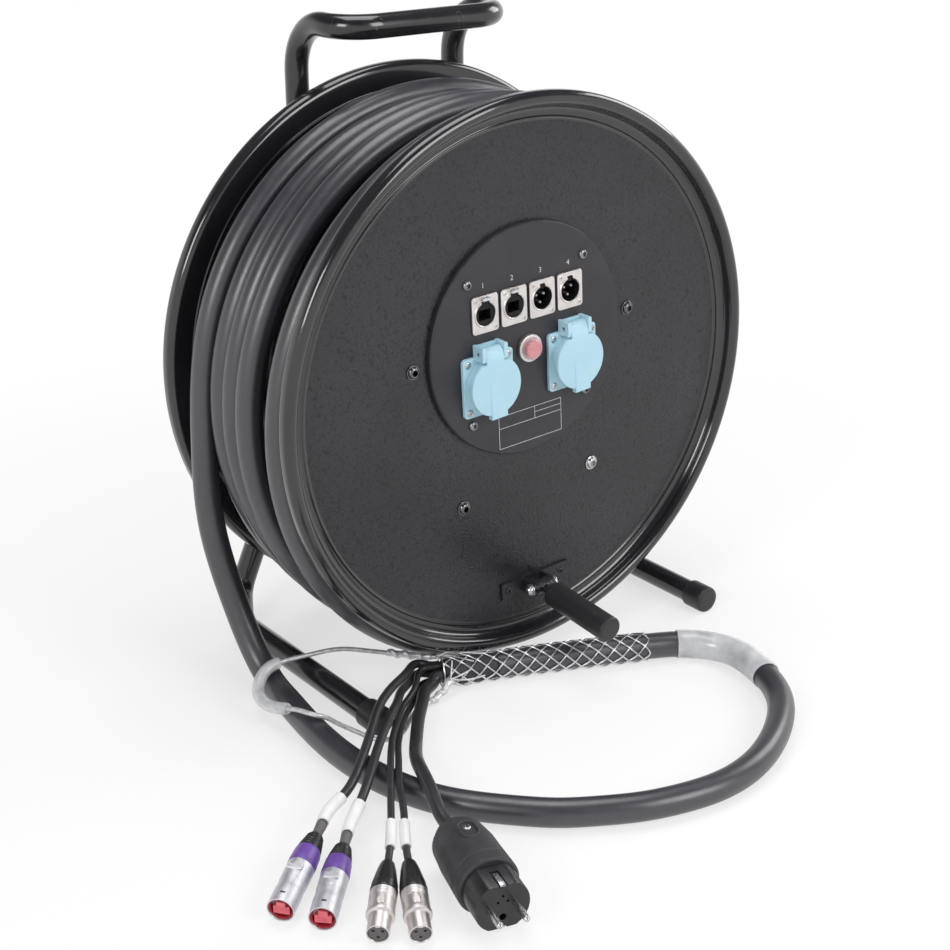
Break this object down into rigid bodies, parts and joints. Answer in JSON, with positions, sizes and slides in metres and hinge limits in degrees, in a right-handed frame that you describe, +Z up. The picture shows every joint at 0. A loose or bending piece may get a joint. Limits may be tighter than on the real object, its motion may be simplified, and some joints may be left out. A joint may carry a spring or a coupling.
{
  "type": "hybrid cable on a steel cable drum",
  "caption": "Hybrid data, audio and power cable wound on a steel drum that turns on a tubular stand, with sockets in its flange and a folding crank.",
  "frame": {"origin": "on the floor, under the middle of the width and depth of the drum and stand without the cable", "axes": "+Z up, +Y along the drum's axle from the connector panel to the stand's back, +X to the right when facing the panel"},
  "size_m": [0.6094, 0.5392, 0.5295],
  "materials": {
    "black_paint": "glossy hammered texture",
    "jacket": "satin",
    "black_rubber": "matte",
    "black_plastic": "satin",
    "steel": "zinc plated",
    "nickel": "satin nickel",
    "blue_plastic": "satin",
    "red_plastic": "glossy",
    "clear_plastic": "clear",
    "wire": "bright"
  },
  "bodies": {
    "stand": {"stand_frame": "black_paint", "foot_cap_left": "black_rubber", "foot_cap_right": "black_rubber", "axle_plate": "black_paint", "axle_shaft": "steel", "axle_nut": "steel", "cable_free": "jacket", "splitter_boot": "black_rubber", "pulling_grip": "wire", "wire_rope": "wire", "thimble": "clear_plastic", "clear_sleeve": "clear_plastic", "cat_tail_1": "black_rubber", "cat_tail_2": "black_rubber", "audio_tail_1": "black_rubber", "audio_tail_2": "black_rubber", "power_tail": "black_rubber", "cat_connector_1": "nickel", "cat_connector_2": "nickel", "audio_connector_1": "nickel", "audio_connector_2": "nickel", "power_connector": "black_rubber"},
    "brake": {"brake_knob": "black_plastic"},
    "drum": {"front_flange": "black_paint", "rear_flange": "black_paint", "front_rim": "black_paint", "rear_rim": "black_paint", "drum_barrel": "black_paint", "hub_bearing_front": "steel", "hub_bearing_rear": "steel", "cable_pack": "jacket", "cable_winding": "jacket", "connector_panel": "black_paint", "flange_bolt_1": "steel", "flange_bolt_2": "steel", "flange_bolt_3": "steel", "flange_bolt_4": "steel", "rj45_socket_1": "nickel", "rj45_socket_2": "nickel", "rj45_insert_1": "black_plastic", "rj45_insert_2": "black_plastic", "xlr_socket_3": "nickel", "xlr_socket_4": "nickel", "xlr_insert_3": "black_plastic", "xlr_insert_4": "black_plastic", "breaker_bezel": "black_plastic", "breaker_boot": "clear_plastic", "power_socket_left": "blue_plastic", "power_socket_right": "blue_plastic", "lid_pin_left": "steel", "lid_pin_right": "steel", "crank_bracket": "black_paint", "crank_pin": "steel"},
    "latch_1": {"rj45_latch_1": "black_plastic"},
    "latch_2": {"rj45_latch_2": "black_plastic"},
    "reset_button": {"breaker_button": "red_plastic"},
    "lid_left": {"power_lid_left": "blue_plastic"},
    "lid_right": {"power_lid_right": "blue_plastic"},
    "crank": {"crank_arm": "steel"},
    "grip": {"crank_grip": "black_plastic"}
  },
  "joints": [
    {"name": "drum_spin", "type": "hinge", "parent": "stand", "child": "drum", "pos_m": [0, 0.02341, 0.248], "axis": [0, 1, 0], "continuous": true},
    {"name": "brake_turn", "type": "hinge", "parent": "stand", "child": "brake", "pos_m": [0.045, 0.02341, 0.248], "axis": [0, 1, 0], "range_deg": [0, 180]},
    {"name": "lid_left_hinge", "type": "hinge", "parent": "drum", "child": "lid_left", "pos_m": [-0.04551, -0.07429, 0.28517], "axis": [-0.9986, 0, -0.0523], "range_deg": [0, 110], "stiffness_Nm_per_rad": 0.01, "springref_deg": -28.65},
    {"name": "lid_right_hinge", "type": "hinge", "parent": "drum", "child": "lid_right", "pos_m": [0.04137, -0.07429, 0.28972], "axis": [-0.9986, 0, -0.0523], "range_deg": [0, 110], "stiffness_Nm_per_rad": 0.01, "springref_deg": -28.65},
    {"name": "crank_fold", "type": "hinge", "parent": "drum", "child": "crank", "pos_m": [0.00963, -0.07509, 0.06425], "axis": [-0.9986, 0, -0.0523], "range_deg": [0, 94]},
    {"name": "grip_spin", "type": "hinge", "parent": "crank", "child": "grip", "pos_m": [0.00963, -0.07509, 0.06425], "axis": [0.0037, -0.9976, -0.0697], "continuous": true},
    {"name": "reset_press", "type": "slide", "parent": "drum", "child": "reset_button", "axis": [0, 1, 0], "range_m": [0, 0.0025], "stiffness_N_per_m": 400, "springref_m": -0.001},
    {"name": "latch_1_press", "type": "slide", "parent": "drum", "child": "latch_1", "axis": [0.0523, 0, -0.9986], "range_m": [0, 0.0015], "stiffness_N_per_m": 300, "springref_m": -0.001},
    {"name": "latch_2_press", "type": "slide", "parent": "drum", "child": "latch_2", "axis": [0.0523, 0, -0.9986], "range_m": [0, 0.0015], "stiffness_N_per_m": 300, "springref_m": -0.001}
  ]
}
